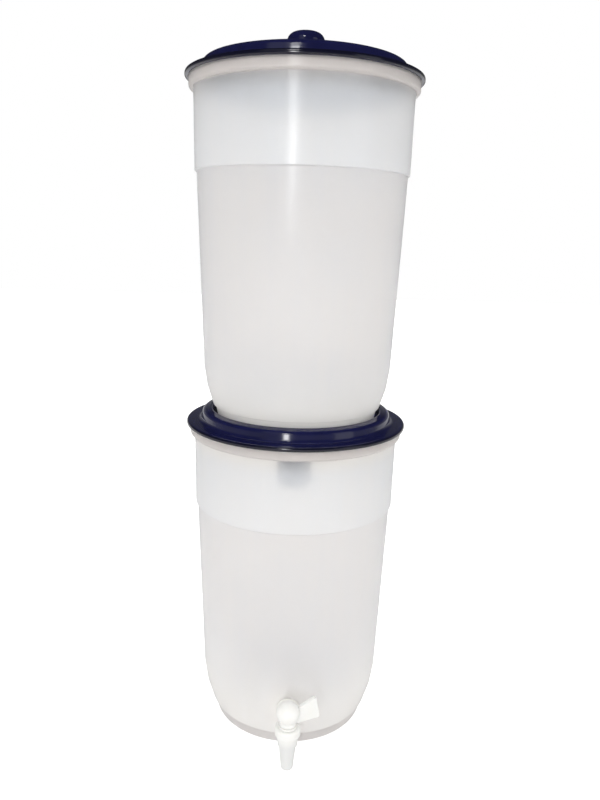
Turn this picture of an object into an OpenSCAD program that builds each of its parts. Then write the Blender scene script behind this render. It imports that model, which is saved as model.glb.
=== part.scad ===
// Stacked carbon filter for spirits. A feed bucket stands in the lid of a receiving bucket.
// A cup of carbon hangs from the feed bucket's base, and a plug tap drains the lower bucket.
// Millimetres, +Z up. The origin is the middle of the lower foot, on the table. The tap faces -Y.

/* [Bucket] */
// Height of one bucket from its foot to its rim
bucket_h = 360; // [330:1:420]
// Thickness of the bucket's wall
bucket_wall = 2; // [1.5:0.1:2.5]
// Outer radius of the foot ring where it stands
foot_r = 89.5; // [80:0.5:100]
// Radius that the foot ring gains up to its shoulder
foot_flare = 3; // [1:0.5:4]
// Width of the foot ring's standing face
foot_face = 3; // [2:0.5:4]
// Height of the foot ring up to the shoulder
foot_h = 14.5; // [12:0.5:18]
// Width of the shoulder above the foot ring
shoulder_w = 2.7; // [1.5:0.1:4]
// Height of the base plate above the table
base_lift = 5; // [3:0.5:6]
// Thickness of the base plate
base_t = 2.5; // [2:0.1:4]
// Radius that the belly gains from the shoulder up to the wall
belly_flare = 10.1; // [8:0.1:13]
// Height where the belly meets the wall
belly_z = 60; // [50:1:75]
// Radius that the wall gains from the belly up to the step
wall_flare = 7.7; // [5:0.1:10]
// Height of the step
step_z = 266; // [230:1:290]
// Width of the step
step_w = 2.2; // [1.5:0.1:3]
// Radius that the band gains from the step to the rim
band_flare = 1; // [0:0.1:2]
// Reach of the rim outside the band
rim_reach = 4.8; // [4:0.1:7]
// Depth of the rim's skirt
rim_drop = 12; // [8:0.5:16]
// Thickness of the rim
rim_t = 1.8; // [1.4:0.1:2.4]
// Radius of the rim's rolled lower edge
rim_roll = 4; // [3:0.1:4]

/* [Lid] */
// Thickness of the lid's shell
lid_t = 2.2; // [1.6:0.1:2.6]
// Thickness of the lip outside the rim
lip_t = 3.6; // [3:0.1:5]
// Depth of the lip below the rim's top
lip_drop = 0.9; // [0.5:0.1:3]
// Height of the lid's flange above the rim
flange_h = 4.2; // [3.8:0.1:5.5]
// Height of the ridge's crest above the rim
ridge_h = 16.2; // [14:0.1:20]
// Height of the recessed floor above the rim
floor_h = 7; // [5:0.1:8]
// Depth of the skirt that plugs the bucket
skirt_h = 12; // [8:0.5:18]
// Thickness of the skirt
skirt_t = 2.2; // [1.6:0.1:3]
// Radius of the opening in the lower lid
lid_hole_r = 30; // [29:0.5:40]

/* [Knob] */
// Radius of the knob at its foot
knob_r = 20.6; // [16:0.1:26]
// Height of the knob
knob_h = 41; // [30:0.5:50]
// Rounding of the knob's top edge
knob_round = 9; // [4:0.5:11]
// Thickness of the knob's shell
knob_t = 2.5; // [2:0.1:3]
// Radius of the knob screw's shank
screw_r = 2; // [1.5:0.1:3]
// Length of the knob screw's shank
screw_len = 20; // [14:1:26]

/* [Filter] */
// Outer radius of the filter head's neck
neck_r = 17.5; // [15:0.1:19]
// Radius of the passage down the neck
neck_bore_r = 14; // [11:0.1:15]
// Radius of the filter head's flange
head_r = 28; // [24:0.5:34]
// Thickness of the filter head's flange
head_t = 4; // [3:0.5:6]
// Thickness of the rubber seals and washers
seal_t = 2; // [1:0.1:3]
// Thickness of the ring nut
ring_nut_h = 9; // [6:0.5:12]
// Radius of the ring nut across its lugs
ring_nut_r = 27; // [25:0.5:28]
// Length of the neck inside the cup
cup_grip = 16; // [10:0.5:20]
// Length of the filter cup
cup_h = 75; // [60:1:120]
// Thickness of the cup's wall
cup_wall = 2.2; // [1.6:0.1:3]
// Thickness of a felt pad
pad_t = 4; // [2:0.5:6]
// Radius of a drip hole in the cup's floor
drip_r = 1.6; // [1:0.1:2]
// Height of the strainer cap above the head
strainer_h = 22; // [18:1:32]
// Width of a slot in the strainer cap
slot_w = 3; // [1.5:0.1:4]
// Number of slots round the strainer cap
slot_count = 8; // [6:1:16]

/* [Tap] */
// Height of the tap's tail above the table
tail_z = 55; // [50:0.5:75]
// Distance of the plug's axis from the bucket's wall
tap_reach = 41; // [38:0.5:50]
// Radius of the tail's thread
tail_r = 10.4; // [9:0.1:12]
// Radius of the bore along the tail
tail_bore_r = 5.5; // [4.5:0.1:6]
// Radius of the tap's flange
tap_flange_r = 17; // [15:0.5:20]
// Height of the spout's tip above the table
spout_z = 14; // [5:0.5:20]
// Outer radius of the spout at its tip
tip_r = 6.5; // [5.8:0.1:7.5]
// Radius of the spout's bore
spout_bore_r = 4.8; // [3.5:0.1:5]
// Outer radius of the spout where it meets the barrel
spout_top_r = 9.3; // [8.5:0.1:9.8]
// Radius of the barrel's collar
collar_r = 13.7; // [13:0.1:16]
// Height of the barrel's collar
collar_h = 9; // [6:0.5:10]
// Radius of the plug's bore in the barrel
plug_bore_r = 8; // [7.5:0.05:8.2]
// Radius of the ball on the lever
ball_r = 12.3; // [11:0.1:14]
// Length of the lever from the plug's axis
lever_len = 37; // [25:0.5:45]
// Height of the lever's blade at its outer end
lever_h = 25; // [18:0.5:30]
// Thickness of the lever's blade
lever_t = 4.6; // [3:0.1:6]
// Angle of the closed lever behind the line across the tap
lever_angle = 25; // [0:1:30]
// Turn of the lever from closed to open
tap_turn = 115; // [90:1:125]

/* [Clearances] */
// Gap between the lip and the rim
lip_gap = 0.4; // [0.2:0.1:1]
// Gap between the lid's skirt and the bucket
skirt_gap = 0.6; // [0.4:0.1:1]
// Gap between the upper foot and the ridge
stack_gap = 2.5; // [1:0.1:4]
// Gap round a part that passes through a hole
hole_gap = 0.4; // [0.2:0.05:1]
// Gap round the neck's thread
thread_gap = 0.3; // [0.3:0.05:0.5]
// Gap round fillings, seals and nuts
seat_gap = 0.15; // [0.1:0.05:0.3]
// Running gap round the tap's plug
plug_run = 0.05; // [0.03:0.01:0.08]
// Gap under the parts of the tap that turn
turn_gap = 0.3; // [0.2:0.05:0.5]

/* [Hidden] */
$fn = 96;

// Colours
natural = [0.88, 0.87, 0.87];
navy = [0.10, 0.12, 0.28];
white = [0.96, 0.96, 0.95];
rubber = [0.16, 0.16, 0.17];
silicone = [0.93, 0.92, 0.88];
felt = [0.90, 0.89, 0.85];
carbon = [0.07, 0.07, 0.08];
steel = [0.75, 0.75, 0.77];

// Bucket
shoulder_rise = 1;
shoulder_r = foot_r + foot_flare + shoulder_w;
shoulder_z = foot_h + shoulder_rise;
base_top = base_lift + base_t;
step_rise = step_w / 2;
belly_r = shoulder_r + belly_flare;
wall_r = belly_r + wall_flare;
band_r = wall_r + step_w + band_flare;
rim_r = band_r + rim_reach;
rim_bevel = rim_t * 0.6;
// The belly is an arc that starts on the shoulder and runs smoothly into the leaning wall
wall_lean = atan2(wall_r - belly_r, step_z - belly_z);
belly_chord = [shoulder_r - belly_r, shoulder_z - belly_z];
belly_inward = [-cos(wall_lean), sin(wall_lean)];
belly_arc_r = belly_chord * belly_chord / (2 * belly_chord * belly_inward);
belly_c = [belly_r, belly_z] + belly_arc_r * belly_inward;
belly_start = asin((shoulder_z - belly_c[1]) / belly_arc_r);
belly_steps = 10;

// Lid, measured up from the rim that it sits on
lip_r = rim_r + lip_gap + lip_t;
lip_round = flange_h * 0.55;
lip_taper = lip_t * 0.55;
skirt_r = band_r - bucket_wall - skirt_gap;
skirt_round = skirt_t * 0.4;
rise_inset = 4.8;
rise_lean = 2;
rise_round = 4.5;
rise_foot_r = skirt_r - rise_inset;
ridge_out_r = rise_foot_r - rise_lean;
ridge_in_r = foot_r + foot_flare + stack_gap;
ridge_draft = 0.6;
ridge_round = 5;
crest_round = 2.4;
// The foot of a stacked bucket stands on the recessed floor
stack_z = bucket_h + floor_h;
upper_rim_z = stack_z + bucket_h;

// Knob, screwed from below to the upper lid's floor
knob_z = upper_rim_z + floor_h;
knob_draft = 1;
knob_crown = 0.8;
knob_boss_wall = 3.2;
knob_washer_t = 1;
pilot_spare = 1.5;
pilot_depth = screw_len - lid_t - knob_washer_t + pilot_spare;
screw_head_r = screw_r * 2.3;
screw_head_h = screw_r * 1.3;
screw_head_top = knob_z - lid_t - knob_washer_t;

// Filter, from the upper bucket's base downwards
base_under = stack_z + base_lift;
seal_under = stack_z + base_top;
head_under = seal_under + seal_t;
head_top = head_under + head_t;
head_round = 1.5;
ring_nut_top = base_under - seal_t;
ring_nut_under = ring_nut_top - ring_nut_h;
lug_reach = 3;
lug_w = 7;
lug_count = 6;
cup_top = ring_nut_under - seal_t;
cup_bottom = cup_top - cup_h;
cup_in_r = neck_r + thread_gap;
cup_r = cup_in_r + cup_wall;
cup_round = cup_wall * 1.8;
cup_floor = cup_bottom + cup_wall;
neck_end = cup_top - cup_grip;
fill_r = cup_in_r - seat_gap;
carbon_top = neck_end - pad_t;
carbon_bottom = cup_floor + pad_t;
drip_rings = [[0, 1], [0.4, 6], [0.75, 12]];
spigot_r = neck_bore_r - hole_gap;
spigot_len = 8;
strainer_t = 2;
strainer_r = neck_bore_r + 3;
strainer_flange_r = strainer_r + 2.5;
strainer_round = 6;

// Tap, on the wall at the height of its tail
belly_at_tail = belly_c[0] + sqrt(pow(belly_arc_r, 2) - pow(tail_z - belly_c[1], 2));
tail_wall_r = tail_z < belly_z ? belly_at_tail : belly_r + (tail_z - belly_z) * tan(wall_lean);
tap_y = -tail_wall_r - tap_reach;
outer_washer_t = seal_t + 1.2;
tap_flange_t = 4;
flange_y = -tail_wall_r - outer_washer_t;
inner_washer_t = seal_t + 3.5;
back_nut_y = -tail_wall_r + bucket_wall + inner_washer_t;
back_nut_h = 9;
back_nut_flange_t = 2.5;
back_nut_flange_r = tail_r + 11.6;
back_nut_corner_r = tail_r + 9.4;
inner_washer_r = back_nut_flange_r - 3;
saddle_depth = 14;
tail_end_y = back_nut_y + back_nut_h + 4;
tail_neck_r = tail_bore_r + 3;
collar_top = tail_z + tail_neck_r;
collar_bottom = collar_top - collar_h;
collar_round = 2;
barrel_r = collar_r - 2.3;
plug_bore_bottom = tail_z - tail_bore_r * 2;
barrel_bottom = plug_bore_bottom - 1.5;
spout_lip = 0.5;
tip_round = 0.6;
plug_r = plug_bore_r - plug_run;
plug_bottom = plug_bore_bottom + turn_gap;
// The plug's hollow is narrower than the spout, so that a tube in the spout stops under the plug
plug_hollow_r = spout_bore_r - 0.4;
port_r = plug_hollow_r - 0.1;
plug_shoulder_r = plug_r + 1.7;
plug_shoulder_z = collar_top + turn_gap;
plug_shoulder_t = 2;
o_ring_r = 0.75;
o_ring_mid_r = plug_r - o_ring_r + plug_run / 2;
groove_r = o_ring_mid_r - o_ring_r - plug_run;
groove_half = o_ring_r + 0.15;
groove_z = [(plug_bottom + tail_z - port_r) / 2, (collar_top + tail_z + port_r) / 2];
stem_w = 9;
stem_h = 14;
lever_z = plug_shoulder_z + plug_shoulder_t;
hub_r = 8.5;
ball_z = lever_z + stem_h;
lever_root_h = stem_h + 2.4;
lever_slant = 2;
lever_round = 2;

// Unit vector from one point of an outline towards another
function toward(a, b) = let (d = [b[0] - a[0], b[1] - a[1]]) d / norm(d);

// Arc that rounds corner b, which holds [x, y, radius], between its neighbours a and c
function round_corner(a, b, c, n) =
    b[2] == 0 ? [[b[0], b[1]]] :
    let (
        u = toward(b, a),
        v = toward(b, c),
        half = acos(u * v) / 2,
        middle = [b[0], b[1]] + (u + v) / norm(u + v) * b[2] / sin(half),
        first = [b[0], b[1]] + u * b[2] / tan(half) - middle,
        last = [b[0], b[1]] + v * b[2] / tan(half) - middle,
        start = atan2(first[1], first[0]),
        sweep = (atan2(last[1], last[0]) - start + 540) % 360 - 180
    )
    [for (k = [0 : n]) middle + b[2] * [cos(start + sweep * k / n), sin(start + sweep * k / n)]];

// Outline whose corners, each [x, y, radius], are rounded
function rounded(p, n = 6) = [
    for (i = [0 : len(p) - 1])
        each round_corner(p[(i + len(p) - 1) % len(p)], p[i], p[(i + 1) % len(p)], n)
];

function reversed(list) = [for (i = [len(list) - 1 : -1 : 0]) list[i]];

// Outer radius of the foot ring at a height
function foot_at(z) = foot_r + foot_flare * z / foot_h;

// Points up the belly, moved in by a wall's thickness
function belly(inset) = [
    for (i = [0 : belly_steps])
        let (a = belly_start - (wall_lean + belly_start) * i / belly_steps)
            belly_c + belly_arc_r * [cos(a), sin(a)] - [inset, 0]
];

// Points up the outside of a bucket, from its foot to the underside of its rim
function bucket_outside() = concat(
    [[foot_r, 0], [foot_at(foot_h), foot_h]],
    belly(0),
    [[wall_r, step_z], [wall_r + step_w, step_z + step_rise], [band_r, bucket_h - rim_t]]
);

// Points up the inside of a bucket, from its floor to its rim
function bucket_inside() = concat(
    [[foot_at(base_top) - bucket_wall, base_top], [foot_at(foot_h) - bucket_wall, foot_h]],
    belly(bucket_wall),
    [
        [wall_r - bucket_wall, step_z],
        [wall_r + step_w - bucket_wall, step_z + step_rise],
        [band_r - bucket_wall, bucket_h]
    ]
);

// Bucket with a hole of a given radius in its base
module bucket(hole_r) {
    roll_z = bucket_h - rim_drop;
    rim = rounded([
        [rim_r - rim_t, bucket_h - rim_t, 0],
        [rim_r - rim_t, roll_z + rim_t, rim_roll - rim_t],
        [rim_r - rim_roll, roll_z + rim_t, 0],
        [rim_r - rim_roll, roll_z, 0],
        [rim_r, roll_z, rim_roll],
        [rim_r, bucket_h - rim_bevel, 0],
        [rim_r - rim_bevel, bucket_h, 0]
    ], 3);
    base = [[hole_r, base_lift], [foot_r - foot_face, base_lift], [foot_r - foot_face, 0]];
    rotate_extrude()
        polygon(concat(base, bucket_outside(), rim, reversed(bucket_inside()), [[hole_r, base_top]]));
}

// Lid with a hole of a given radius in its floor, on a rim at the height z
module lid(hole_r, z) {
    translate([0, 0, z])
        rotate_extrude()
            polygon(rounded([
                [hole_r, floor_h, 0],
                [ridge_in_r, floor_h, 0],
                [ridge_in_r + ridge_draft, ridge_h, crest_round],
                [ridge_out_r, ridge_h, ridge_round],
                [rise_foot_r, flange_h, rise_round],
                [lip_r, flange_h, lip_round],
                [lip_r, 0, 0],
                [lip_r - lip_taper, -lip_drop, 0],
                [rim_r + lip_gap, -lip_drop, 0],
                [rim_r + lip_gap, 0, 0],
                [skirt_r, 0, 0],
                [skirt_r, -skirt_h, skirt_round],
                [skirt_r - skirt_t, -skirt_h, skirt_round],
                [skirt_r - skirt_t, flange_h - lid_t, 0],
                [rise_foot_r - lid_t, flange_h - lid_t, rise_round - lid_t],
                [ridge_out_r - lid_t, ridge_h - lid_t, ridge_round - lid_t],
                [ridge_in_r + ridge_draft + lid_t, ridge_h - lid_t, 0],
                [ridge_in_r + lid_t, floor_h - lid_t, 0],
                [hole_r, floor_h - lid_t, 0]
            ]));
}

// Flat ring between two radii
module ring(inner_r, outer_r, z, h) {
    translate([0, 0, z])
        difference() {
            cylinder(r = outer_r, h = h);
            translate([0, 0, -h])
                cylinder(r = inner_r, h = 3 * h);
        }
}

// Rod along the tap's tail, from one distance behind the front to another
module along_tail(from_y, to_y, r, sides = $fn) {
    translate([0, from_y, tail_z])
        rotate([-90, 0, 0])
            cylinder(r = r, h = to_y - from_y, $fn = sides);
}

module lower_bucket() {
    color(natural)
        difference() {
            bucket(0);
            along_tail(flange_y, back_nut_y, tail_r + hole_gap);
        }
}

module lower_lid() {
    color(navy)
        lid(lid_hole_r, bucket_h);
}

module upper_bucket() {
    color(natural)
        translate([0, 0, stack_z])
            bucket(neck_r + hole_gap);
}

module upper_lid() {
    color(navy)
        lid(screw_r + hole_gap, upper_rim_z);
}

module lid_knob() {
    side_top = knob_h - knob_crown;
    color(navy)
        translate([0, 0, knob_z])
            rotate_extrude()
                polygon(rounded([
                    [screw_r + seat_gap, 0, 0],
                    [screw_r + knob_boss_wall, 0, 0],
                    [screw_r + knob_boss_wall, side_top - knob_t, 0],
                    [knob_r - knob_draft - knob_t, side_top - knob_t, knob_round - knob_t],
                    [knob_r - knob_t, 0, 0],
                    [knob_r, 0, 0],
                    [knob_r - knob_draft, side_top, knob_round],
                    [0, knob_h, 0],
                    [0, pilot_depth, 0],
                    [screw_r + seat_gap, pilot_depth, 0]
                ]));
}

module knob_washer() {
    color(steel)
        ring(screw_r + seat_gap, screw_head_r * 1.4, screw_head_top, knob_washer_t);
}

module knob_screw() {
    color(steel)
        translate([0, 0, screw_head_top])
            rotate_extrude()
                polygon(rounded([
                    [0, -screw_head_h, 0],
                    [screw_head_r, -screw_head_h, screw_head_h * 0.7],
                    [screw_head_r, 0, 0],
                    [screw_r, 0, 0],
                    [screw_r, screw_len - screw_r, 0],
                    [0, screw_len, 0]
                ]));
}

module strainer_cap() {
    slot_z = head_top + strainer_t * 2;
    slot_h = strainer_h - strainer_round - strainer_t * 2;
    color(white)
        difference() {
            translate([0, 0, head_top])
                rotate_extrude()
                    polygon(rounded([
                        [spigot_r - strainer_t, -spigot_len, 0],
                        [spigot_r, -spigot_len, 0],
                        [spigot_r, 0, 0],
                        [strainer_flange_r, 0, 0],
                        [strainer_flange_r, strainer_t, 0],
                        [strainer_r, strainer_t, 0],
                        [strainer_r, strainer_h, strainer_round],
                        [0, strainer_h, 0],
                        [0, strainer_h - strainer_t, 0],
                        [strainer_r - strainer_t, strainer_h - strainer_t, strainer_round - strainer_t],
                        [strainer_r - strainer_t, strainer_t, 0],
                        [spigot_r - strainer_t, 0, 0]
                    ]));
            for (i = [0 : slot_count - 1])
                rotate(i * 360 / slot_count)
                    translate([strainer_r - strainer_t * 2, -slot_w / 2, slot_z])
                        cube([strainer_t * 3, slot_w, slot_h]);
        }
}

module filter_head() {
    color(white)
        rotate_extrude()
            polygon(rounded([
                [neck_bore_r, neck_end, 0],
                [neck_r, neck_end, 0],
                [neck_r, head_under, 0],
                [head_r, head_under, 0],
                [head_r, head_top, head_round],
                [neck_bore_r, head_top, 0]
            ]));
}

module head_seal() {
    color(rubber)
        ring(neck_r + seat_gap, head_r - head_round, seal_under, seal_t);
}

module base_washer() {
    color(rubber)
        ring(neck_r + seat_gap, ring_nut_r - lug_reach, ring_nut_top, seal_t);
}

module ring_nut() {
    color(white)
        translate([0, 0, ring_nut_under])
            difference() {
                union() {
                    cylinder(r = ring_nut_r - lug_reach, h = ring_nut_h);
                    intersection() {
                        cylinder(r = ring_nut_r, h = ring_nut_h);
                        for (i = [0 : lug_count / 2 - 1])
                            rotate(i * 360 / lug_count)
                                translate([-2 * ring_nut_r, -lug_w / 2, 0])
                                    cube([4 * ring_nut_r, lug_w, ring_nut_h]);
                    }
                }
                translate([0, 0, -ring_nut_h])
                    cylinder(r = neck_r + seat_gap, h = 3 * ring_nut_h);
            }
}

module filter_cup() {
    color(navy)
        difference() {
            rotate_extrude()
                polygon(rounded([
                    [0, cup_bottom, 0],
                    [cup_r, cup_bottom, cup_round],
                    [cup_r, cup_top, 0],
                    [cup_in_r, cup_top, 0],
                    [cup_in_r, cup_floor, 0],
                    [0, cup_floor, 0]
                ]));
            for (row = drip_rings, i = [0 : row[1] - 1])
                rotate(i * 360 / row[1])
                    translate([row[0] * cup_in_r, 0, cup_bottom - cup_wall])
                        cylinder(r = drip_r, h = 3 * cup_wall);
        }
}

module cup_gasket() {
    color(rubber)
        ring(cup_in_r, cup_r, cup_top, seal_t);
}

module upper_pad() {
    color(felt)
        translate([0, 0, carbon_top])
            cylinder(r = fill_r, h = pad_t);
}

module carbon_bed() {
    color(carbon)
        translate([0, 0, carbon_bottom])
            cylinder(r = fill_r, h = carbon_top - carbon_bottom);
}

module lower_pad() {
    color(felt)
        translate([0, 0, cup_floor])
            cylinder(r = fill_r, h = pad_t);
}

module tap_body() {
    color(white)
        difference() {
            union() {
                translate([0, tap_y, 0])
                    rotate_extrude()
                        polygon(rounded([
                            [0, spout_z, 0],
                            [tip_r, spout_z, tip_round],
                            [spout_top_r, barrel_bottom, 0],
                            [spout_top_r + spout_lip, barrel_bottom, 0],
                            [barrel_r, collar_bottom, 0],
                            [collar_r, collar_bottom, collar_round],
                            [collar_r, collar_top, collar_round],
                            [0, collar_top, 0]
                        ]));
                along_tail(tap_y, flange_y, tail_neck_r);
                along_tail(flange_y - tap_flange_t, flange_y, tap_flange_r);
                along_tail(flange_y, tail_end_y, tail_r);
            }
            translate([0, tap_y, 0])
                cylinder(r = spout_bore_r, h = collar_top);
            translate([0, tap_y, plug_bore_bottom])
                cylinder(r = plug_bore_r, h = collar_top);
            along_tail(tap_y, tail_end_y + back_nut_h, tail_bore_r);
        }
}

// Rubber saddle that fills the space between the flat flange and the curved wall
module tap_outer_washer() {
    color(silicone)
        difference() {
            along_tail(flange_y, flange_y + saddle_depth, tap_flange_r);
            along_tail(flange_y - saddle_depth, flange_y + 2 * saddle_depth, tail_r + seat_gap);
            rotate_extrude()
                polygon(concat([[0, 0]], bucket_outside(), [[0, bucket_h - rim_t]]));
        }
}

// Rubber saddle between the curved inside of the wall and the flat nut
module tap_inner_washer() {
    color(silicone)
        intersection() {
            difference() {
                along_tail(back_nut_y - saddle_depth, back_nut_y, inner_washer_r);
                along_tail(back_nut_y - 2 * saddle_depth, tail_end_y, tail_r + seat_gap);
            }
            rotate_extrude()
                polygon(concat([[0, base_top]], bucket_inside(), [[0, bucket_h]]));
        }
}

module tap_back_nut() {
    color(white)
        difference() {
            union() {
                along_tail(back_nut_y, back_nut_y + back_nut_flange_t, back_nut_flange_r);
                along_tail(back_nut_y, back_nut_y + back_nut_h, back_nut_corner_r, 6);
            }
            along_tail(back_nut_y - back_nut_h, tail_end_y, tail_r + seat_gap);
        }
}

// Hollow plug, open below, with a side port that meets the tail when the tap is open
module tap_plug() {
    function groove(z) = [
        [plug_r, z - groove_half],
        [groove_r, z - groove_half],
        [groove_r, z + groove_half],
        [plug_r, z + groove_half]
    ];
    color(white)
        translate([0, tap_y, 0])
            difference() {
                union() {
                    rotate_extrude()
                        polygon(concat(
                            [[0, plug_bottom], [plug_r, plug_bottom]],
                            groove(groove_z[0]),
                            groove(groove_z[1]),
                            [
                                [plug_r, plug_shoulder_z],
                                [plug_shoulder_r, plug_shoulder_z],
                                [plug_shoulder_r, lever_z],
                                [0, lever_z]
                            ]
                        ));
                    translate([-stem_w / 2, -stem_w / 2, lever_z])
                        cube([stem_w, stem_w, stem_h]);
                }
                cylinder(r = plug_hollow_r, h = tail_z + port_r);
                rotate(tap_turn)
                    translate([0, 0, tail_z])
                        rotate([-90, 0, 0])
                            cylinder(r = port_r, h = 2 * plug_r);
            }
}

module plug_o_rings() {
    color(rubber)
        for (z = groove_z)
            translate([0, tap_y, z])
                rotate_extrude()
                    translate([o_ring_mid_r, 0])
                        circle(r = o_ring_r, $fn = 32);
}

module tap_lever() {
    socket_w = stem_w + 2 * seat_gap;
    color(white)
        translate([0, tap_y, 0])
            difference() {
                union() {
                    translate([0, 0, ball_z])
                        sphere(r = ball_r);
                    translate([0, 0, lever_z])
                        cylinder(r = hub_r, h = stem_h);
                    rotate([90, 0, lever_angle])
                        translate([0, lever_z, -lever_t / 2])
                            linear_extrude(lever_t)
                                polygon(rounded([
                                    [0, 0, 0],
                                    [lever_len, 0, lever_round],
                                    [lever_len - lever_slant, lever_h, lever_round],
                                    [hub_r, lever_root_h, 0],
                                    [0, lever_root_h, 0]
                                ]));
                }
                translate([-socket_w / 2, -socket_w / 2, lever_z - stem_h])
                    cube([socket_w, socket_w, 2 * stem_h + seat_gap]);
            }
}

lower_bucket();
lower_lid();
upper_bucket();
upper_lid();
lid_knob();
knob_washer();
knob_screw();
strainer_cap();
filter_head();
head_seal();
base_washer();
ring_nut();
filter_cup();
cup_gasket();
upper_pad();
carbon_bed();
lower_pad();
tap_body();
tap_outer_washer();
tap_inner_washer();
tap_back_nut();
tap_plug();
plug_o_rings();
tap_lever();
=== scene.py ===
"""Mouldings, finishes and studio for a stacked carbon filter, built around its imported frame."""

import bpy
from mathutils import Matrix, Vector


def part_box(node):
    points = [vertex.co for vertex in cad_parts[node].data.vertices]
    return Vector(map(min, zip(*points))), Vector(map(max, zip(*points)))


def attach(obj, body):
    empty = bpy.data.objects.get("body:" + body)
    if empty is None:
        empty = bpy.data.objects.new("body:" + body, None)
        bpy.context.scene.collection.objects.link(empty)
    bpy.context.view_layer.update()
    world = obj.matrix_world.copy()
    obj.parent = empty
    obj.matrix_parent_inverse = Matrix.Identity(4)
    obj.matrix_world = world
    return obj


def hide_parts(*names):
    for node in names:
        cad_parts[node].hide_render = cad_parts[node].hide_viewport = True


bl_info = {
    "name": "Stacked Carbon Filter",
    "version": (1, 0, 0),
    "blender": (4, 5, 0),
    "location": "View3D > Sidebar > Carbon Filter",
    "description": "Makes the buckets, lids, filter and tap of a stacked carbon filter",
    "category": "Object",
}

import math

import bmesh
import bpy
from bpy.props import FloatProperty, FloatVectorProperty, IntProperty, PointerProperty
from bpy.types import Operator, Panel, PropertyGroup
from mathutils import Matrix, Vector

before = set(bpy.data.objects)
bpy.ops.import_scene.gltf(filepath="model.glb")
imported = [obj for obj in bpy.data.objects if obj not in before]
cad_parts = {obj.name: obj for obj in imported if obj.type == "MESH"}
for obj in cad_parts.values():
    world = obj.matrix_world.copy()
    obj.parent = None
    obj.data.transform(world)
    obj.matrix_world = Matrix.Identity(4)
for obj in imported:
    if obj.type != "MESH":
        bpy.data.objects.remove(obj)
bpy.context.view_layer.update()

FULL_TURN = 2 * math.pi
ALONG_Y = Matrix.Rotation(-math.pi / 2, 4, "X")
# Length by which a solid that is cut out or joined on reaches past the faces that it meets
OVERLAP = 0.001
# Faces round a bucket or lid, and round a smaller fitting
BUCKET_STEPS = 192
FITTING_STEPS = 96
# Turn of one step of a rounded corner
ARC_STEP = math.radians(14)


def low(node):
    """Lowest corner of a node of the frame."""
    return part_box(node)[0]


def high(node):
    """Highest corner of a node of the frame."""
    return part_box(node)[1]


def length(name, default, description):
    """Property that holds a length in metres."""
    return FloatProperty(
        name=name, default=default, description=description, precision=5, subtype="DISTANCE"
    )


def colour(name, default, description):
    """Property that holds a colour."""
    return FloatVectorProperty(
        name=name, default=default, description=description, subtype="COLOR", min=0, max=1
    )


def angle(name, degrees, description):
    """Property that holds an angle."""
    return FloatProperty(
        name=name, default=math.radians(degrees), description=description, subtype="ANGLE"
    )


def number(name, default, description):
    """Property that holds how many there are."""
    return IntProperty(name=name, default=default, description=description, min=2)


def strength(name, default, description):
    """Property that holds a strength of light."""
    return FloatProperty(name=name, default=default, description=description, min=0)


class BucketSizes(PropertyGroup):
    """Sizes of the bucket moulding, which both buckets share."""

    wall: length("Wall", 0.002, "Thickness of the wall")
    foot_r: length("Foot radius", 0.0895, "Outer radius of the foot ring where it stands")
    foot_flare: length("Foot flare", 0.003, "Radius that the foot ring gains up to its shoulder")
    foot_face: length("Foot face", 0.003, "Width of the face that the foot ring stands on")
    foot_h: length("Foot height", 0.0145, "Height of the foot ring")
    shoulder_w: length("Shoulder", 0.0027, "Width of the shoulder above the foot ring")
    shoulder_rise: length("Shoulder rise", 0.001, "Height that the shoulder gains outwards")
    base_lift: length("Base lift", 0.005, "Height of the base plate above the table")
    base_t: length("Base thickness", 0.0025, "Thickness of the base plate")
    belly_r: length("Belly radius", 0.1053, "Outer radius where the belly meets the wall")
    belly_z: length("Belly height", 0.060, "Height where the belly meets the wall")
    wall_r: length("Wall radius", 0.113, "Outer radius of the wall just under the step")
    step_z: length("Step height", 0.266, "Height of the step")
    step_w: length("Step", 0.0022, "Width of the step")
    band_flare: length("Band flare", 0.001, "Radius that the band gains from the step to the rim")
    rim_drop: length("Rim drop", 0.012, "Depth of the rim's skirt")
    rim_t: length("Rim thickness", 0.0018, "Thickness of the rim")
    rim_roll: length("Rim roll", 0.004, "Radius of the rim's rolled lower edge")
    neck_hole_r: length("Neck hole", 0.0179, "Radius of the hole in the upper base")
    tail_hole_r: length("Tail hole", 0.0108, "Radius of the tap's hole in the lower wall")


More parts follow.
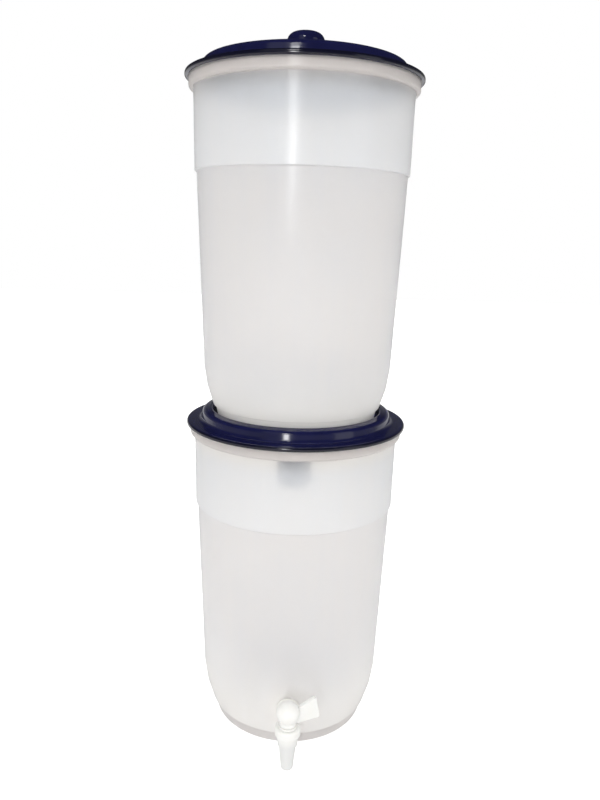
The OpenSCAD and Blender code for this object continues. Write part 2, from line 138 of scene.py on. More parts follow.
class LidSizes(PropertyGroup):
    """Sizes of the lid moulding, measured from the rim that it sits on."""

    shell: length("Shell", 0.0022, "Thickness of the shell")
    lip_t: length("Lip", 0.0036, "Thickness of the lip outside the rim")
    lip_drop: length("Lip drop", 0.0009, "Depth of the lip below the rim's top")
    lip_slope: length("Lip slope", 0.00198, "Width of the lip's sloping lower edge")
    flange_h: length("Flange", 0.0042, "Height of the flange above the rim")
    crest_h: length("Crest", 0.0178, "Height of the crest's inner edge above the rim")
    crest_fall: length("Crest fall", 0.002, "Height that the crest loses towards its outer edge")
    floor_h: length("Floor", 0.007, "Height of the recessed floor above the rim")
    skirt_t: length("Skirt", 0.0022, "Thickness of the skirt that plugs the bucket")
    skirt_r: length("Skirt radius", 0.1136, "Outer radius of the skirt")
    rise_r: length("Rise", 0.1088, "Radius where the flange turns up into the ridge")
    crest_out_r: length("Crest outside", 0.1068, "Outer radius of the ridge's crest")
    crest_in_r: length("Crest inside", 0.095, "Inner radius of the ridge")
    draft: length("Draft", 0.0006, "Radius that the ridge's inner face gains up to the crest")
    crest_in_round: length("Inner rounding", 0.0024, "Rounding of the crest's inner edge")
    crest_out_round: length("Outer rounding", 0.005, "Rounding of the crest's outer edge")
    rise_round: length("Rise rounding", 0.0045, "Rounding where the flange turns up into the ridge")
    lip_round: length("Lip rounding", 0.0023, "Rounding of the lip's upper edge")
    filter_hole_r: length("Filter hole", 0.030, "Radius of the opening in the lower lid")
    screw_hole_r: length("Screw hole", 0.0024, "Radius of the knob screw's hole")


class KnobSizes(PropertyGroup):
    """Sizes of the hollow knob on the upper lid."""

    shell: length("Shell", 0.0025, "Thickness of the shell")
    draft: length("Draft", 0.001, "Radius that the side loses up to the top")
    crown: length("Crown", 0.0008, "Height that the top gains towards its middle")
    top_round: length("Top rounding", 0.009, "Rounding between the side and the top")
    boss_r: length("Boss", 0.0052, "Radius of the boss that takes the screw")
    pilot_r: length("Pilot hole", 0.00215, "Radius of the screw's hole")
    pilot_depth: length("Pilot depth", 0.0183, "Depth of the screw's hole")


class FilterSizes(PropertyGroup):
    """Sizes of the filter that hangs from the upper base."""

    neck_r: length("Neck", 0.0175, "Radius over the neck's thread")
    neck_bore_r: length("Neck bore", 0.014, "Radius of the passage down the neck")
    neck_pitch: length("Neck pitch", 0.003, "Pitch of the neck's thread")
    neck_plain: length("Plain neck", 0.002, "Length of the neck without thread under its head")
    thread_depth: length("Thread depth", 0.0009, "Depth of a thread")
    head_t: length("Head", 0.004, "Thickness of the filter head's flange")
    cup_in_r: length("Cup inside", 0.0178, "Inner radius of the cup")
    cup_wall: length("Cup wall", 0.0022, "Thickness of the cup's wall")
    cup_round: length("Cup rounding", 0.004, "Rounding of the cup's lower edge")
    drip_r: length("Drip hole", 0.0016, "Radius of a drip hole")
    spigot_r: length("Spigot", 0.0136, "Radius of the strainer's spigot")
    strainer_r: length("Strainer", 0.017, "Radius of the strainer's dome")
    strainer_t: length("Strainer wall", 0.002, "Thickness of the strainer's wall")
    dome_round: length("Dome rounding", 0.006, "Rounding of the dome, which ends where the slots do")
    slot_w: length("Slot", 0.003, "Width of a slot in the strainer")
    slot_count: number("Slots", 8, "Slots round the strainer")
    lug_reach: length("Lug", 0.003, "Height of a lug on the ring nut")
    lug_w: length("Lug width", 0.007, "Width of a lug on the ring nut")
    lug_inset: length("Lug inset", 0.0002, "Distance of a lug's faces from the nut's")
    lug_count: number("Lugs", 6, "Lugs round the ring nut")
    seal_gap: length("Seal gap", 0.00015, "Gap between a ring and the neck inside it")


class TapSizes(PropertyGroup):
    """Sizes of the plug tap."""

    tail_z: length("Tail height", 0.055, "Height of the tail above the table")
    tail_r: length("Tail", 0.0104, "Radius over the tail's thread")
    tail_bore_r: length("Tail bore", 0.0055, "Radius of the bore along the tail")
    tail_pitch: length("Tail pitch", 0.0018, "Pitch of the tail's thread")
    tail_plain: length("Plain tail", 0.005, "Length of the tail without thread behind the flange")
    thread_depth: length("Thread depth", 0.0006, "Depth of the tail's thread")
    gap: length("Gap", 0.00015, "Gap round the tail and the plug's stem")
    neck_r: length("Neck", 0.0085, "Radius of the neck between barrel and flange")
    flange_r: length("Flange", 0.0129, "Radius of the flange outside the wall")
    flange_t: length("Flange thickness", 0.004, "Thickness of the flange")
    flange_round: length("Flange fillet", 0.0025, "Rounding between the neck and the flange")
    collar_r: length("Collar", 0.0137, "Radius of the barrel's collar")
    collar_h: length("Collar height", 0.009, "Height of the barrel's collar")
    collar_round: length("Collar rounding", 0.0024, "Rounding of the collar's upper edge")
    collar_step: length("Collar step", 0.0023, "Width of the step under the collar")
    barrel_floor: length("Barrel floor", 0.0015, "Thickness of the barrel under the plug")
    tip_r: length("Tip", 0.0065, "Radius of the spout's tip")
    spout_top_r: length("Spout top", 0.0093, "Radius of the spout where it meets the barrel")
    spout_step: length("Spout step", 0.0012, "Width of the step above the spout")
    spout_bore_r: length("Spout bore", 0.0048, "Radius of the spout's bore")
    plug_bore_r: length("Plug bore", 0.008, "Radius of the plug's bore")
    nut_flange_r: length("Nut flange", 0.022, "Radius of the back nut's flange")
    nut_flange_t: length("Nut flange thickness", 0.0025, "Thickness of the back nut's flange")
    nut_corner_r: length("Nut corners", 0.0198, "Radius of the back nut over its corners")
    ball_r: length("Ball", 0.0123, "Radius of the ball on the lever")
    hub_r: length("Hub", 0.0085, "Radius of the lever's hub")
    stem_w: length("Stem", 0.009, "Width of the plug's square stem")
    stem_h: length("Stem height", 0.014, "Height of the plug's square stem")
    lever_len: length("Lever", 0.037, "Length of the lever from the plug's axis")
    lever_h: length("Blade", 0.025, "Height of the lever's blade at its outer end")
    lever_t: length("Blade thickness", 0.0046, "Thickness of the lever's blade")
    lever_slant: length("Blade slant", 0.005, "Length that the blade loses up to its top")
    lever_rise: length("Blade rise", 0.0024, "Height of the blade above the stem, at the hub")
    lever_turn: angle("Lever turn", 25, "Turn of the closed lever behind the line across the tap")


class FinishColours(PropertyGroup):
    """Colours of the mouldings, seals and fillings."""

    natural: colour("Natural plastic", (0.71, 0.765, 0.85), "Milky plastic of the buckets")
    # Paler plastic of the belly and foot: partly thicker plastic, partly painted light that lifts the
    # shade low on the buckets
    natural_thick_and_painted_light: colour("Natural thick", (0.99, 0.99, 0.95), "Thicker plastic of the belly and foot")
    natural_glow: colour("Natural glow", (0.945, 0.955, 0.99), "Light that the milky plastic scatters")
    natural_clear: colour("Natural clear", (1.0, 0.945, 0.865), "Light that the milky plastic lets by")
    cool_cast: colour("Cool cast", (0.985, 0.985, 1.0), "Cooler cloud in the milky plastic")
    warm_cast: colour("Warm cast", (1.0, 0.985, 0.985), "Warmer cloud in the milky plastic")
    natural_band: colour("Natural band", (0.865, 0.92, 0.97), "Thicker plastic above the step")
    natural_rim: colour("Natural rim", (0.80, 0.765, 0.735), "Rolled rim")
    # Painted shade: darkens the lower bucket's foot ring, where the belly shades it
    painted_foot_shade: colour("Natural foot", (0.66, 0.635, 0.61), "Foot ring")
    navy: colour("Navy", (0.0085, 0.0095, 0.052), "Lids and cup")
    # Painted shade: the outer edge of the lids darkened almost to black, where the lip is shaded
    lip: colour("Lip", (0.0025, 0.0025, 0.005), "Dark edge of the lids' lips")
    ink: colour("Dark navy", (0.0050, 0.0058, 0.030), "Darker flow in the navy plastic")
    white: colour("White", (0.81, 0.81, 0.795), "Tap and filter fittings")
    warm_white: colour("Warm white", (0.7857, 0.7776, 0.73935), "Warmer flow in the white plastic")
    rubber: colour("Rubber", (0.020, 0.020, 0.021), "Black seals")
    silicone: colour("Silicone", (0.88, 0.87, 0.83), "Pale seals of the tap")
    felt: colour("Felt", (0.76, 0.73, 0.66), "Felt pads")
    carbon: colour("Carbon", (0.012, 0.012, 0.013), "Carbon granules")
    steel: colour("Steel", (0.55, 0.55, 0.57), "Screw and washer")


class StudioSettings(PropertyGroup):
    """Camera and light."""

    lens: FloatProperty(
        name="Lens", default=32.233, description="Focal length", subtype="DISTANCE_CAMERA"
    )
    eye: FloatVectorProperty(
        name="Eye", default=(-0.00229, -0.80753, 0.57018), description="Place of the camera",
        subtype="XYZ",
    )
    pitch: angle("Pitch", 12.935, "Tilt below the horizon")
    yaw: angle("Yaw", 0.469, "Turn to the right")
    roll: angle("Roll", 1.633, "Lean of the camera")
    ambient: strength("Ambient", 1.0, "Light from all round")
    gloss: strength("Gloss", 0.32, "Level of the room that glossy faces mirror")
    floor_glow: strength("Floor glow", 0.6, "Light that the floor shows where the camera looks")
    key_power: strength("Key", 2.0, "Soft light above the camera")
    strip_power: strength("Strip", 18.0, "Tall light behind the camera")
    spot_power: strength("Spot", 12.0, "Small light high behind the camera")
    fill_power: strength("Fill", 3.0, "Soft light from the right")


class FilterSettings(PropertyGroup):
    """All that can be set."""

    bucket: PointerProperty(type=BucketSizes)
    lid: PointerProperty(type=LidSizes)
    knob: PointerProperty(type=KnobSizes)
    filter: PointerProperty(type=FilterSizes)
    tap: PointerProperty(type=TapSizes)
    colours: PointerProperty(type=FinishColours)
    studio: PointerProperty(type=StudioSettings)


# Mesh making

def outline(corners):
    """Wire through corners of radius, height and rounding, left open if it starts on the axis."""
    bm = bmesh.new()
    verts = [bm.verts.new((r, 0, z)) for r, z, _ in corners]
    ends = zip(verts, verts[1:] if corners[0][0] == 0 else verts[1:] + verts[:1])
    for pair in ends:
        bm.edges.new(pair)
    for vert, (_, _, rounding) in zip(verts, corners):
        if rounding:
            round_corner(bm, vert, rounding)
    return bm


def round_corner(bm, vert, rounding):
    """Arc of a given radius in place of a corner of a wire."""
    sides = [edge.other_vert(vert).co - vert.co for edge in vert.link_edges]
    half = sides[0].angle(sides[1]) / 2
    sweep = math.pi - 2 * half
    bmesh.ops.bevel(
        bm, geom=[vert], offset=rounding / math.tan(half), offset_type="OFFSET",
        segments=max(2, round(sweep / ARC_STEP)), profile=0.5, affect="VERTICES",
        clamp_overlap=True, material=-1,
    )


def lathe(corners, steps=FITTING_STEPS, place=None):
    """Solid turned from an outline about Z, then moved by a matrix."""
    bm = outline(corners)
    bmesh.ops.spin(
        bm, geom=bm.verts[:] + bm.edges[:], cent=(0, 0, 0), axis=(0, 0, 1), dvec=(0, 0, 0),
        angle=FULL_TURN, steps=steps, use_merge=True,
    )
    bmesh.ops.remove_doubles(bm, verts=bm.verts, dist=1e-7)
    bmesh.ops.recalc_face_normals(bm, faces=bm.faces)
    if place:
        bmesh.ops.transform(bm, matrix=place, verts=bm.verts)
    return bm


def rod(r, z0, z1, steps=64, place=None, low_round=0, high_round=0):
    """Round rod along Z, whose two rims may be rounded."""
    return lathe([(0, z0, 0), (r, z0, low_round), (r, z1, high_round), (0, z1, 0)], steps, place)


def ring(inner_r, outer_r, z0, z1, rounding):
    """Flat ring with rounded edges."""
    corners = ((inner_r, z0), (outer_r, z0), (outer_r, z1), (inner_r, z1))
    return lathe([(*corner, rounding) for corner in corners])


def thread(root_r, crest_r, z0, z1, pitch, place=None, steps=48):
    """Ridge of a screw thread, sunk a little into its core."""
    bm = bmesh.new()
    half = pitch * 0.36
    tip = pitch * 0.10
    corners = [(root_r - tip, -half), (crest_r, -tip), (crest_r, tip), (root_r - tip, half)]
    verts = [bm.verts.new((r, 0, z0 + half + z)) for r, z in corners]
    face = bm.faces.new(verts)
    turns = (z1 - z0 - 2 * half) / pitch
    count = round(turns * steps)
    bmesh.ops.spin(
        bm, geom=[face, *face.edges, *face.verts], cent=(0, 0, 0), axis=(0, 0, 1),
        dvec=(0, 0, turns * pitch / count), angle=turns * FULL_TURN, steps=count,
    )
    bmesh.ops.recalc_face_normals(bm, faces=bm.faces)
    if place:
        bmesh.ops.transform(bm, matrix=place, verts=bm.verts)
    return bm


def block(low_corner, high_corner):
    """Box between two corners."""
    size = Vector(high_corner) - Vector(low_corner)
    middle = (Vector(high_corner) + Vector(low_corner)) / 2
    bm = bmesh.new()
    bmesh.ops.create_cube(bm, size=1, matrix=Matrix.Translation(middle) @ Matrix.Diagonal((*size, 1)))
    return bm


def round_edges(bm, edges, offset, segments=3):
    """Rounds some of a solid's edges."""
    bmesh.ops.bevel(
        bm, geom=edges, offset=offset, segments=segments, profile=0.5, affect="EDGES", material=-1
    )


def gathered(parts):
    """One bmesh that holds several."""
    whole = bmesh.new()
    for part in parts:
        scratch = bpy.data.meshes.new("part")
        part.to_mesh(scratch)
        part.free()
        whole.from_mesh(scratch)
        bpy.data.meshes.remove(scratch)
    return whole


def around(copies):
    """Solids turned about Z so that they stand evenly all round, in one bmesh."""
    for i, bm in enumerate(copies):
        turn = Matrix.Rotation(i * FULL_TURN / len(copies), 4, "Z")
        bmesh.ops.transform(bm, matrix=turn, verts=bm.verts)
    return gathered(copies)


def as_object(name, bm):
    """Object that holds a bmesh."""
    mesh = bpy.data.meshes.new(name)
    bm.to_mesh(mesh)
    bm.free()
    made = bpy.data.objects.new(name, mesh)
    bpy.context.scene.collection.objects.link(made)
    return made


def combined(made, operation, *others):
    """Joins solids to an object, or cuts them out of it."""
    for bm in others:
        tool = as_object("tool", bm)
        step = made.modifiers.new("step", "BOOLEAN")
        step.operation = operation
        step.solver = "EXACT"
        step.object = tool
        bpy.context.view_layer.update()
        evaluated = made.evaluated_get(bpy.context.evaluated_depsgraph_get())
        result = bpy.data.meshes.new_from_object(evaluated)
        made.modifiers.clear()
        old = made.data
        made.data = result
        bpy.data.meshes.remove(old)
        bpy.data.meshes.remove(tool.data)
    return made


def shade(made, sharp=math.radians(35)):
    """Smooth shading with creases at the sharp edges, evened out over the flat faces."""
    bm = bmesh.new()
    bm.from_mesh(made.data)
    for face in bm.faces:
        face.smooth = True
        face.material_index = 0
    for edge in bm.edges:
        edge.smooth = not (len(edge.link_faces) == 2 and edge.calc_face_angle() > sharp)
    bm.to_mesh(made.data)
    bm.free()
    even = made.modifiers.new("even shading", "WEIGHTED_NORMAL")
    even.keep_sharp = True


def seat(made, node, body, slot):
    """Puts a piece on its body in place of a node, with the finish of its slot in the record."""
    shade(made)
    dress(made, slot)
    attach(made, body)
    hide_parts(node)
    return made


def dress(made, slot):
    """Gives an object the finish of a slot in the record."""
    made.data.materials.clear()
    made.data.materials.append(finish_of(slot))


# Finishes

class Value:
    """A socket that takes part in Python arithmetic."""

    def __init__(self, nodes, socket):
        self.nodes = nodes
        self.socket = socket

    def maths(self, operation, first, second):
        return self.nodes.node("ShaderNodeMath", {"operation": operation}, {0: first, 1: second})

    def __add__(self, other):
        return self.maths("ADD", self, other)

    __radd__ = __add__

    def __sub__(self, other):
        return self.maths("SUBTRACT", self, other)

    def __rsub__(self, other):
        return self.maths("SUBTRACT", other, self)

    def __mul__(self, other):
        return self.maths("MULTIPLY", self, other)

    __rmul__ = __mul__

    def __pow__(self, other):
        return self.maths("POWER", self, other)


class Nodes:
    """Node tree with one way to add a node."""

    def __init__(self, tree):
        self.tree = tree
        tree.nodes.clear()

    def node(self, kind, settings, sockets, output=0):
        """Adds a node, sets it, feeds its sockets and gives one of its outputs."""
        made = self.tree.nodes.new(kind)
        for name, value in settings.items():
            setattr(made, name, value)
        for key, value in sockets.items():
            if isinstance(value, Value):
                self.tree.links.new(value.socket, made.inputs[key])
            else:
                made.inputs[key].default_value = value
        return Value(self, made.outputs[output]) if made.outputs else None

    def place(self, scale=(1, 1, 1)):
        """Object coordinates, scaled."""
        here = self.node("ShaderNodeTexCoord", {}, {}, "Object")
        return self.node("ShaderNodeMapping", {}, {"Vector": here, "Scale": scale})

    def noise(self, size, detail=2.0, stretch=(1, 1, 1)):
        """Noise with grains of a given size in metres, from 0 to 1."""
        scale = tuple(part / size for part in stretch)
        return self.node(
            "ShaderNodeTexNoise", {}, {"Vector": self.place(scale), "Scale": 1.0, "Detail": detail}
        )

    def blend(self, share, first, second, way="MIX"):
        """Colour between two others, or the second laid over the first."""
        settings = {"data_type": "RGBA", "blend_type": way}
        return self.node("ShaderNodeMix", settings, {0: share, 6: first, 7: second}, 2)

    def between(self, value, start, end, to_start=0.0, to_end=1.0):
        """A value's place in a range, clamped and carried over to another range."""
        return self.node(
            "ShaderNodeMapRange", {"interpolation_type": "SMOOTHSTEP"},
            {"Value": value, 1: start, 2: end, 3: to_start, 4: to_end},
        )

    def height(self):
        """Height above the table."""
        return self.node("ShaderNodeSeparateXYZ", {}, {"Vector": self.place()}, "Z")

    def radius(self):
        """Distance from the buckets' axis."""
        here = self.place()
        x, y = (self.node("ShaderNodeSeparateXYZ", {}, {"Vector": here}, axis) for axis in "XY")
        return (x * x + y * y) ** 0.5

    def turning(self, scale):
        """Turning marks round the buckets' axis, from 0 to 1."""
        return self.node(
            "ShaderNodeTexNoise", {"noise_dimensions": "1D"},
            {"W": self.radius(), "Scale": scale, "Detail": 2.0},
        )

    def bump(self, height, distance):
        """Normal bent by a height that is given as a share of a distance."""
        return self.node("ShaderNodeBump", {}, {"Height": height, "Distance": distance, "Strength": 1.0})


class Finish(Nodes):
    """Material with one shader."""

    def __init__(self, name):
        self.material = bpy.data.materials.new(name)
        self.material.use_nodes = True
        super().__init__(self.material.node_tree)

    def layer(self, **sockets):
        """Shader whose sockets are named with underscores."""
        named = {key.replace("_", " "): value for key, value in sockets.items()}
        return self.node("ShaderNodeBsdfPrincipled", {}, named)

    def surface(self, shader):
        """Makes a shader the material's surface."""
        self.node("ShaderNodeOutputMaterial", {}, {"Surface": shader})

    def shader(self, **sockets):
        """Makes the material's surface from one shader."""
        self.surface(self.layer(**sockets))


def opaque(rgb, shift=1.0):
    """Colour with full alpha, made paler or darker by a factor."""
    return (*(min(1.0, part * shift) for part in rgb), 1.0)


def natural_plastic(finish, settings):
    """Milky plastic that lets shapes behind it show, blurred."""
    colours, bucket = settings.colours, settings.bucket
    upper_floor = low("upper_bucket").z
    rim_low = high("lower_bucket").z - bucket.rim_drop
    ramp = 0.0015
    clear_h = 0.020
    # Reach of the painted glow round the tap's hole
    glow_core = 0.020
    glow_edge = 0.042
    z = finish.height()
    in_upper = finish.between(z, upper_floor - ramp, upper_floor)
    local = z - in_upper * upper_floor
    band = finish.between(local, bucket.step_z, bucket.step_z + ramp)
    rim = finish.between(local, rim_low - ramp, rim_low)
    near_rim = finish.between(local, rim_low - clear_h, rim_low + bucket.wall)
    # Paler, milkier belly and foot, partly thicker plastic and partly painted light that lifts the shade
    # low on the buckets; the lower bucket is milkier further up its wall than the upper one
    thick_and_painted_light = finish.between(local * (1 + in_upper * 0.8), 3 * bucket.belly_z, bucket.foot_h)
    # Painted shade on the lower bucket's foot ring
    foot = finish.between(z, bucket.foot_h + ramp, bucket.foot_h)
    # Painted glow: a lighter, warmer, milkier patch round the tap's hole, which lifts the shade round the
    # tap
    tap_hole = finish.node(
        "ShaderNodeVectorMath", {"operation": "DISTANCE"},
        {0: finish.place(), 1: (0, -bucket.belly_r, settings.tap.tail_z)}, "Value",
    )
    boss = finish.between(tap_hole, glow_edge, glow_core)
    cloud = finish.noise(0.06, 3.0)
    streak = finish.noise(0.012, 2.0, (1, 1, 0.06))
    thin = finish.blend(band, opaque(colours.natural), opaque(colours.natural_band))
    body = finish.blend(thick_and_painted_light, thin, opaque(colours.natural_thick_and_painted_light))
    rolled = finish.blend(rim, body, opaque(colours.natural_rim))
    # Painted shade darkens the foot ring
    foot_shaded = finish.blend(foot, rolled, opaque(colours.painted_foot_shade))
    # Painted glow lightens and warms the wall round the tap's hole
    tone = finish.blend(boss * 0.4, foot_shaded, opaque(colours.natural_clear))
    cast = finish.blend(cloud * 0.5 + streak * 0.5, opaque(colours.cool_cast), opaque(colours.warm_cast))
    peel = finish.noise(0.0016, 2.0)
    flow = finish.noise(0.02, 2.0, (1, 1, 0.15))
    skin = finish.bump(peel * 0.3 + flow * 0.7, 0.00006)
    sheet = finish.layer(
        Base_Color=finish.blend(1.0, tone, cast, "MULTIPLY"),
        Roughness=0.17 + flow * 0.08,
        IOR=1.49,
        Specular_IOR_Level=0.9,
        Normal=skin,
    )
    glow = finish.node(
        "ShaderNodeBsdfTranslucent", {}, {"Color": opaque(colours.natural_glow), "Normal": skin}
    )
    milky = finish.node("ShaderNodeMixShader", {}, {0: 0.5, 1: sheet, 2: glow})
    clear = finish.layer(
        Base_Color=opaque(colours.natural_clear),
        Roughness=0.34 + flow * 0.06,
        IOR=1.22,
        Transmission_Weight=1.0,
        Normal=skin,
    )
    # The belly and foot are milkier, partly as thicker plastic and partly as painted light, the patch
    # round the tap's hole is milkier as painted glow, the wall under the rim is clearer, and clouds run
    # through all of it
    milkier = band * 0.13 + thick_and_painted_light * 0.32 + rim * 0.36 + boss * 0.16
    clearer = near_rim * 0.24 + (cloud - 0.5) * 0.08 + (streak - 0.5) * 0.10
    share = 0.62 - milkier + clearer
    finish.surface(finish.node("ShaderNodeMixShader", {}, {0: share, 1: milky, 2: clear}))


def navy_plastic(finish, settings):
    """Glossy dark blue moulding with faint turning rings."""
    colours = settings.colours
    flow = finish.noise(0.018, 3.0)
    scuff = finish.noise(0.0035, 4.0, (1, 1, 0.3))
    lip_r = high("lower_lid").x
    lip_shade_start = 0.0022
    lip_shade_end = 0.0004
    # Painted shade: the lids' outer edge darkens almost to black towards the lip
    edge = finish.between(finish.radius(), lip_r - lip_shade_start, lip_r - lip_shade_end)
    tone = finish.blend(flow, opaque(colours.ink), opaque(colours.navy))
    finish.shader(
        Base_Color=finish.blend(edge * 0.8, tone, opaque(colours.lip)),
        Roughness=0.08 + scuff * 0.08,
        IOR=1.49,
        Specular_IOR_Level=0.5,
        Normal=finish.bump(finish.turning(900.0) * 0.6 + scuff * 0.4, 0.00003),
    )


def white_plastic(finish, settings):
    """Satin white moulding, darkened down the tap's spout by painted shade."""
    colours, tap = settings.colours, settings.tap
    flow = finish.noise(0.009, 3.0)
    grain = finish.noise(0.0007, 2.0)
    collar_low = tap.tail_z + tap.neck_r - tap.collar_h
    spout_shade_h = 0.012
    # Painted shade: the white darkens below the tap's collar, down the spout and the lowest parts of the
    # tail and back nut
    spout = finish.between(finish.height(), collar_low, collar_low - spout_shade_h)
    tone = finish.blend(flow, opaque(colours.warm_white), opaque(colours.white))
    finish.shader(
        Base_Color=finish.blend(spout, tone, opaque(colours.white, 0.86)),
        Roughness=0.30 + flow * 0.12,
        Subsurface_Weight=0.25,
        Subsurface_Radius=(1.0, 0.9, 0.8),
        Subsurface_Scale=0.0015,
        Normal=finish.bump(grain * 0.4 + flow * 0.6, 0.00004),
    )


def seal_rubber(finish, settings):
    """Black rubber."""
    soft_seal(finish, settings.colours.rubber, 1.8)


def white_rubber(finish, settings):
    """Pale silicone."""
    soft_seal(finish, settings.colours.silicone, 1.06)


def soft_seal(finish, rgb, shift):
    """Matt rubber with a fine speckle and a paler bloom."""
    speckle = finish.noise(0.0006, 3.0)
    bloom = finish.noise(0.006, 2.0)
    finish.shader(
        Base_Color=finish.blend(bloom, opaque(rgb), opaque(rgb, shift)),
        Roughness=0.55 + speckle * 0.25,
        Normal=finish.bump(speckle, 0.00005),
    )


def felt(finish, settings):
    """Pressed felt with loose fibres."""
    rgb = settings.colours.felt
    fibre = finish.noise(0.0012, 6.0, (1, 1, 3))
    mat = finish.noise(0.005, 3.0)
    finish.shader(
        Base_Color=finish.blend(fibre * 0.7 + mat * 0.3, opaque(rgb, 0.72), opaque(rgb)),
        Roughness=0.95,
        Sheen_Weight=0.3,
        Normal=finish.bump(fibre, 0.0004),
    )


def carbon(finish, settings):
    """Packed granules."""
    rgb = settings.colours.carbon
    cells = {"Vector": finish.place(), "Scale": 700.0}
    grain, tint = (
        finish.node("ShaderNodeTexVoronoi", {"feature": "F1"}, cells, output)
        for output in ("Distance", "Color")
    )
    dust = finish.node("ShaderNodeRGBToBW", {}, {"Color": tint})
    finish.shader(
        Base_Color=finish.blend(dust, opaque(rgb), opaque(rgb, 4)),
        Roughness=0.45 + dust * 0.35,
        Normal=finish.bump(1 - grain, 0.0008),
    )


def steel(finish, settings):
    """Bright plated steel with turning marks."""
    rgb = settings.colours.steel
    blotch = finish.noise(0.004, 3.0)
    finish.shader(
        Base_Color=finish.blend(blotch, opaque(rgb, 0.75), opaque(rgb)),
        Metallic=1.0,
        Roughness=0.22 + blotch * 0.15,
        Normal=finish.bump(finish.turning(6000.0), 0.00002),
    )


def finish_of(slot):
    """Finish of a slot in the record, made when it is first asked for."""
    name = slot + " finish"
    if name not in bpy.data.materials:
        settings = bpy.context.scene.carbon_filter
        MAKERS[slot](Finish(name), settings)
    return bpy.data.materials[name]


MAKERS = {
    "natural_plastic": natural_plastic,
    "navy_plastic": navy_plastic,
    "white_plastic": white_plastic,
    "seal_rubber": seal_rubber,
    "white_rubber": white_rubber,
    "felt": felt,
    "carbon": carbon,
    "steel": steel,
}


# Pieces

def bucket_corners(sizes, rim_r, height, hole_r):
    """Outline of a bucket that stands on the table."""
    foot_top_r = sizes.foot_r + sizes.foot_flare
    inner_foot_r = sizes.foot_r - sizes.foot_face
    base_top = sizes.base_lift + sizes.base_t
    foot_at_base = sizes.foot_r + sizes.foot_flare * base_top / sizes.foot_h
    shoulder = Vector((foot_top_r + sizes.shoulder_w, sizes.foot_h + sizes.shoulder_rise))
    belly = Vector((sizes.belly_r, sizes.belly_z))
    rise = Vector((sizes.wall_r - sizes.belly_r, sizes.step_z - sizes.belly_z)).normalized()
    chord = belly - shoulder
    # The belly is an arc that runs into the wall, and its corner lies down the wall's own line.
    # The arc is a little short of its two ends, so that it doesn't meet their roundings.
    bend = chord.angle(rise)
    reach = chord.length / 2 / math.cos(bend)
    corner = belly - rise * reach
    belly_round = 0.97 * reach / math.tan(bend)
    band_r = sizes.wall_r + sizes.step_w + sizes.band_flare
    step_top = sizes.step_z + sizes.step_w / 2
    roll_r = rim_r - sizes.rim_roll
    rim_under = height - sizes.rim_t
    rim_low = height - sizes.rim_drop
    wall = sizes.wall
    return [
        (hole_r, sizes.base_lift, 0),
        (inner_foot_r, sizes.base_lift, 0.0012),
        (inner_foot_r, 0, 0.0009),
        (sizes.foot_r, 0, 0.0012),
        (foot_top_r, sizes.foot_h, 0.0006),
        (*shoulder, 0.0004),
        (*corner, belly_round),
        (sizes.wall_r, sizes.step_z, 0.0007),
        (sizes.wall_r + sizes.step_w, step_top, 0.0007),
        (band_r, rim_under, 0.0009),
        (rim_r - sizes.rim_t, rim_under, 0.0008),
        (rim_r - sizes.rim_t, rim_low + sizes.rim_t, 0.7 * (sizes.rim_roll - sizes.rim_t)),
        (roll_r, rim_low + sizes.rim_t, 0.0006),
        (roll_r, rim_low, 0.0006),
        (rim_r, rim_low, 0.8 * sizes.rim_roll),
        (rim_r, height, 0.0011),
        (band_r - wall, height, 0.0007),
        (sizes.wall_r + sizes.step_w - wall, step_top, 0.0007),
        (sizes.wall_r - wall, sizes.step_z, 0.0007),
        (corner.x - wall, corner.y, belly_round),
        (shoulder.x - wall, shoulder.y, 0.0004),
        (foot_top_r - wall, sizes.foot_h, 0.0006),
        (foot_at_base - wall, base_top, 0.002),
        (hole_r, base_top, 0),
    ]


def bucket_core(sizes):
    """Solid that fills the lower bucket out to its outer face, up to the step."""
    top = high("lower_bucket")
    outer = bucket_corners(sizes, top.x, top.z, 0.0)[3:8]
    return lathe([(0, 0, 0), *outer, (0, sizes.step_z, 0)], BUCKET_STEPS)


class CARBONFILTER_OT_buckets(Operator):
    """Make the receiving bucket and the feed bucket"""

    bl_idname = "carbon_filter.buckets"
    bl_label = "Buckets"

    def execute(self, context):
        settings = context.scene.carbon_filter
        sizes = settings.bucket
        rim_r = high("lower_bucket").x
        for node, body, hole_r in (
            ("lower_bucket", "receiver", 0.0),
            ("upper_bucket", "feed", sizes.neck_hole_r),
        ):
            stand = low(node).z
            corners = bucket_corners(sizes, rim_r, high(node).z - stand, hole_r)
            turned = lathe(corners, BUCKET_STEPS, Matrix.Translation((0, 0, stand)))
            made = as_object(node + "_moulding", turned)
            if not hole_r:
                tail = low("tap_body").y, low("tap_back_nut").y
                hole = rod(sizes.tail_hole_r, *tail, place=tail_place(settings.tap))
                combined(made, "DIFFERENCE", hole)
            seat(made, node, body, "natural_plastic")
        return {"FINISHED"}


